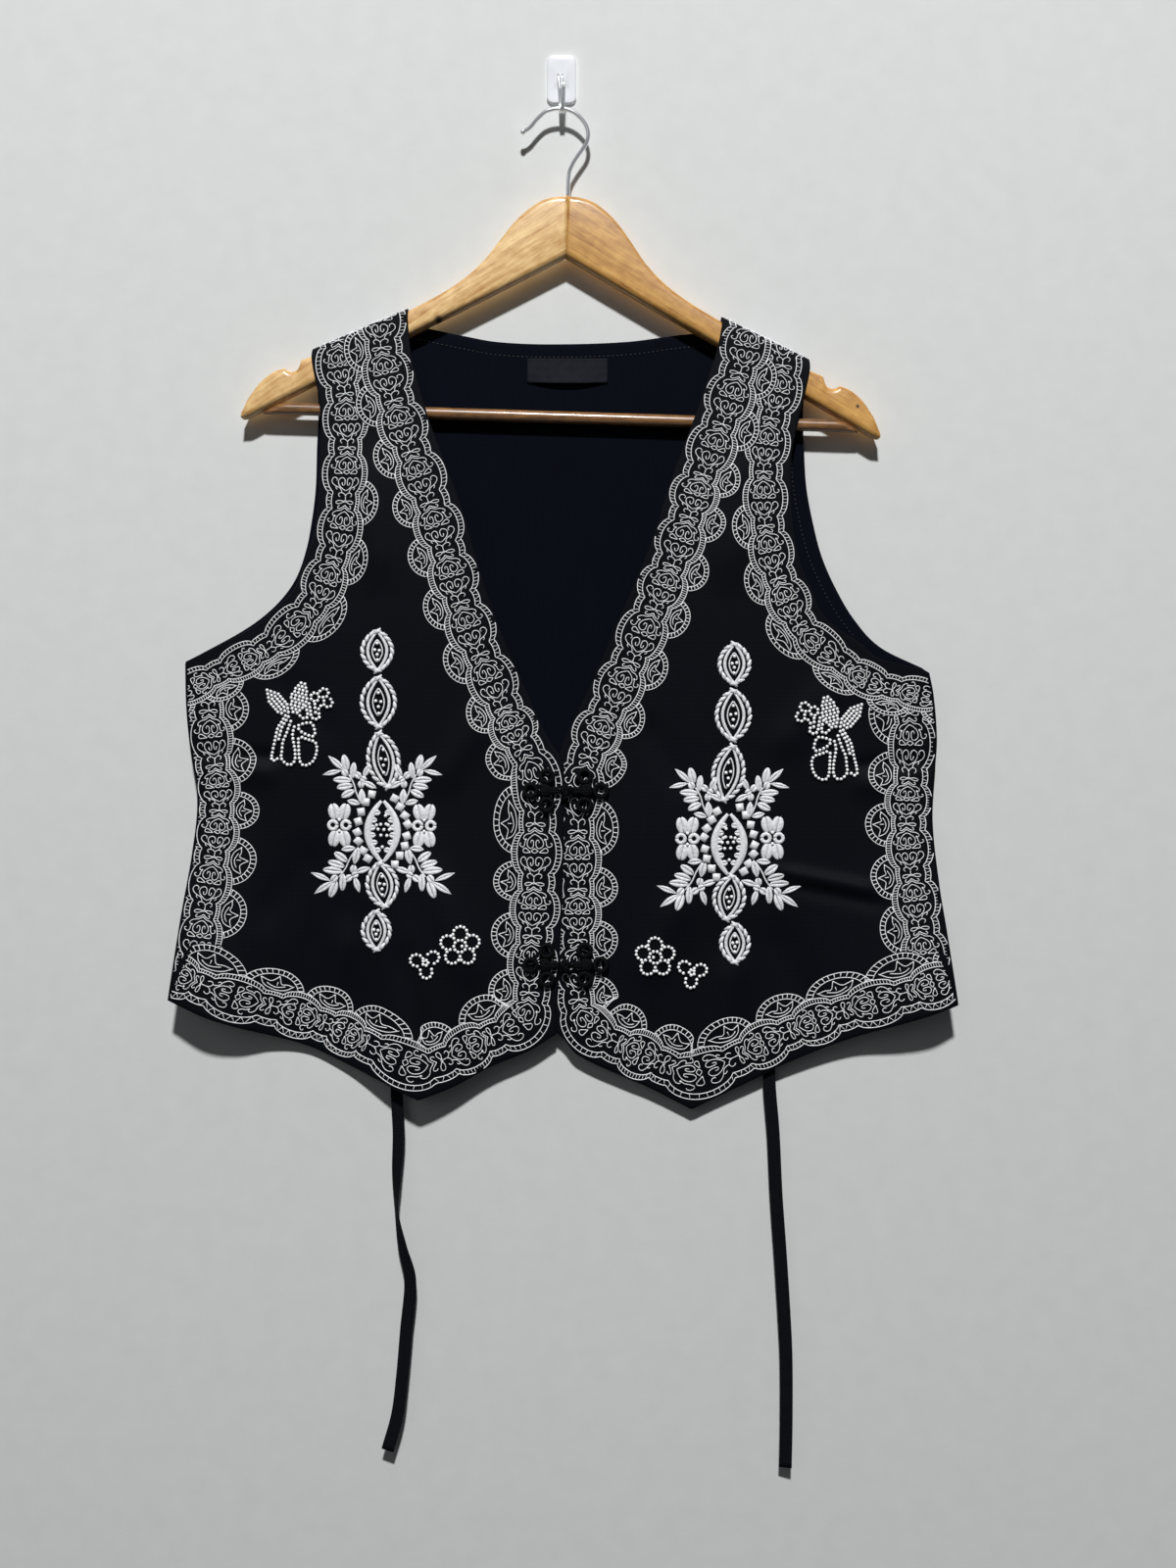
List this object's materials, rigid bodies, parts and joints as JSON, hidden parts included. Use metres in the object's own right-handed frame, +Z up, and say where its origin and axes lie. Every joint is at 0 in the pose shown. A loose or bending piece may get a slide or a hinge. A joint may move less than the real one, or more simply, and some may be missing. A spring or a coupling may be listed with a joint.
{
  "type": "embroidered waistcoat on a wooden hanger with a wall hook",
  "caption": "Short black V-neck waistcoat with white border embroidery, frog closures and waist ties, hung flat on a wooden hanger from an adhesive wall hook.",
  "frame": {"origin": "centre of the wall pad's back face, on the wall", "axes": "+Z up, +Y into the wall, +X to the viewer's right, which is the wearer's left"},
  "size_m": [0.5511, 0.0265, 1.0008],
  "materials": {
    "front_cloth": "navy-black cotton with white chain-stitch embroidery and beads",
    "back_cloth": "plain navy-black cotton",
    "label": "blank woven satin label",
    "tie_tape": "flat black cotton tie",
    "frog_cord": "black twisted rayon cord",
    "hanger_wood": "clear satin varnish",
    "bar_wood": "clear satin varnish",
    "hook_wire": "bright plated steel wire",
    "pad_plastic": "moulded white"
  },
  "bodies": {
    "root": {"front_right": "front_cloth", "front_left": "front_cloth", "back": "back_cloth", "neck_label": "label", "tie_right": "tie_tape", "tie_left": "tie_tape", "frog_upper_right": "frog_cord", "frog_upper_left": "frog_cord", "frog_upper_knot": "frog_cord", "frog_lower_right": "frog_cord", "frog_lower_left": "frog_cord", "frog_lower_knot": "frog_cord", "hanger_arm_right": "hanger_wood", "hanger_arm_left": "hanger_wood", "hanger_bar": "bar_wood", "hanger_hook": "hook_wire", "wall_hook": "hook_wire", "wall_pad": "pad_plastic"}
  },
  "joints": []
}
